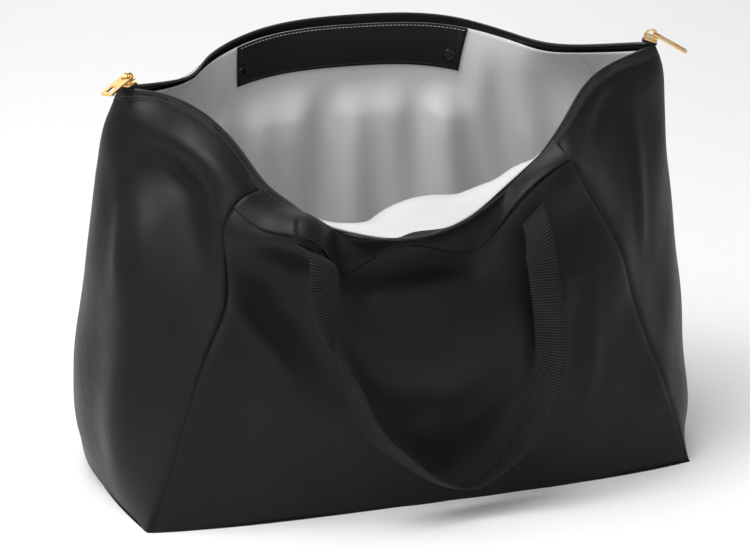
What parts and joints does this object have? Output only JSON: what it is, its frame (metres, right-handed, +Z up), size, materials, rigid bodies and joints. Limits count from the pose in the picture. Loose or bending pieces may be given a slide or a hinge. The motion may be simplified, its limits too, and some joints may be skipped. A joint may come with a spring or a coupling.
{
  "type": "weekender bag",
  "caption": "Soft weekender bag standing open: trapezoid panels, wide zipped mouth, satin lining, webbing handles and metal pulls.",
  "frame": {"origin": "middle of the flat bottom, on the surface that the bag stands on", "axes": "+X along the bag's length, +Y from front to back, +Z up"},
  "size_m": [0.6253, 0.4238, 0.415],
  "materials": {
    "shell_nylon": "smooth satin nylon",
    "lining_satin": "silver grey satin",
    "strip_nylon": "smooth satin nylon",
    "board_plastic": "matt",
    "zip_tape": "woven tape",
    "zip_coil": "nylon coil",
    "gold_metal": "polished gold plate",
    "dark_metal": "black lacquer",
    "webbing": "ribbed webbing"
  },
  "bodies": {
    "bag": {"back_handle_tails": "webbing", "back_panel": "shell_nylon", "back_snap_strip": "strip_nylon", "back_yoke": "shell_nylon", "back_zip_tape": "zip_tape", "back_zip_teeth": "zip_coil", "base_board": "board_plastic", "base_panel": "shell_nylon", "front_handle_tails": "webbing", "front_panel": "shell_nylon", "front_pocket_lining": "lining_satin", "front_yoke": "shell_nylon", "front_zip_tape": "zip_tape", "front_zip_teeth": "zip_coil", "left_side_panel": "shell_nylon", "left_slider": "gold_metal", "left_zip_end": "shell_nylon", "lining_back": "lining_satin", "lining_floor": "lining_satin", "lining_front": "lining_satin", "lining_left": "lining_satin", "lining_right": "lining_satin", "right_side_panel": "shell_nylon", "right_slider": "gold_metal", "right_zip_end": "shell_nylon", "snap_rivets": "dark_metal", "snap_sockets": "dark_metal"},
    "front_handle": {"front_handle": "webbing"},
    "back_handle": {"back_handle": "webbing"},
    "left_pull": {"left_pull": "gold_metal"},
    "right_pull": {"right_pull": "gold_metal"}
  },
  "joints": [
    {"name": "front_handle_swing", "type": "hinge", "parent": "bag", "child": "front_handle", "pos_m": [-0.01741, -0.15504, 0.29514], "axis": [-0.9835, -0.1778, -0.0338], "range_deg": [0, 145]},
    {"name": "back_handle_swing", "type": "hinge", "parent": "bag", "child": "back_handle", "pos_m": [0.00715, 0.16408, 0.366], "axis": [0.9999, -0.0061, -0.014], "range_deg": [0, 145]},
    {"name": "left_pull_flip", "type": "hinge", "parent": "bag", "child": "left_pull", "pos_m": [-0.25728, -0.00411, 0.41054], "axis": [-0.6917, 0.7221, -0.0114], "range_deg": [0, 115]},
    {"name": "right_pull_flip", "type": "hinge", "parent": "bag", "child": "right_pull", "pos_m": [0.28344, -0.00248, 0.40918], "axis": [-0.411, -0.9113, 0.0239], "range_deg": [0, 120]}
  ]
}
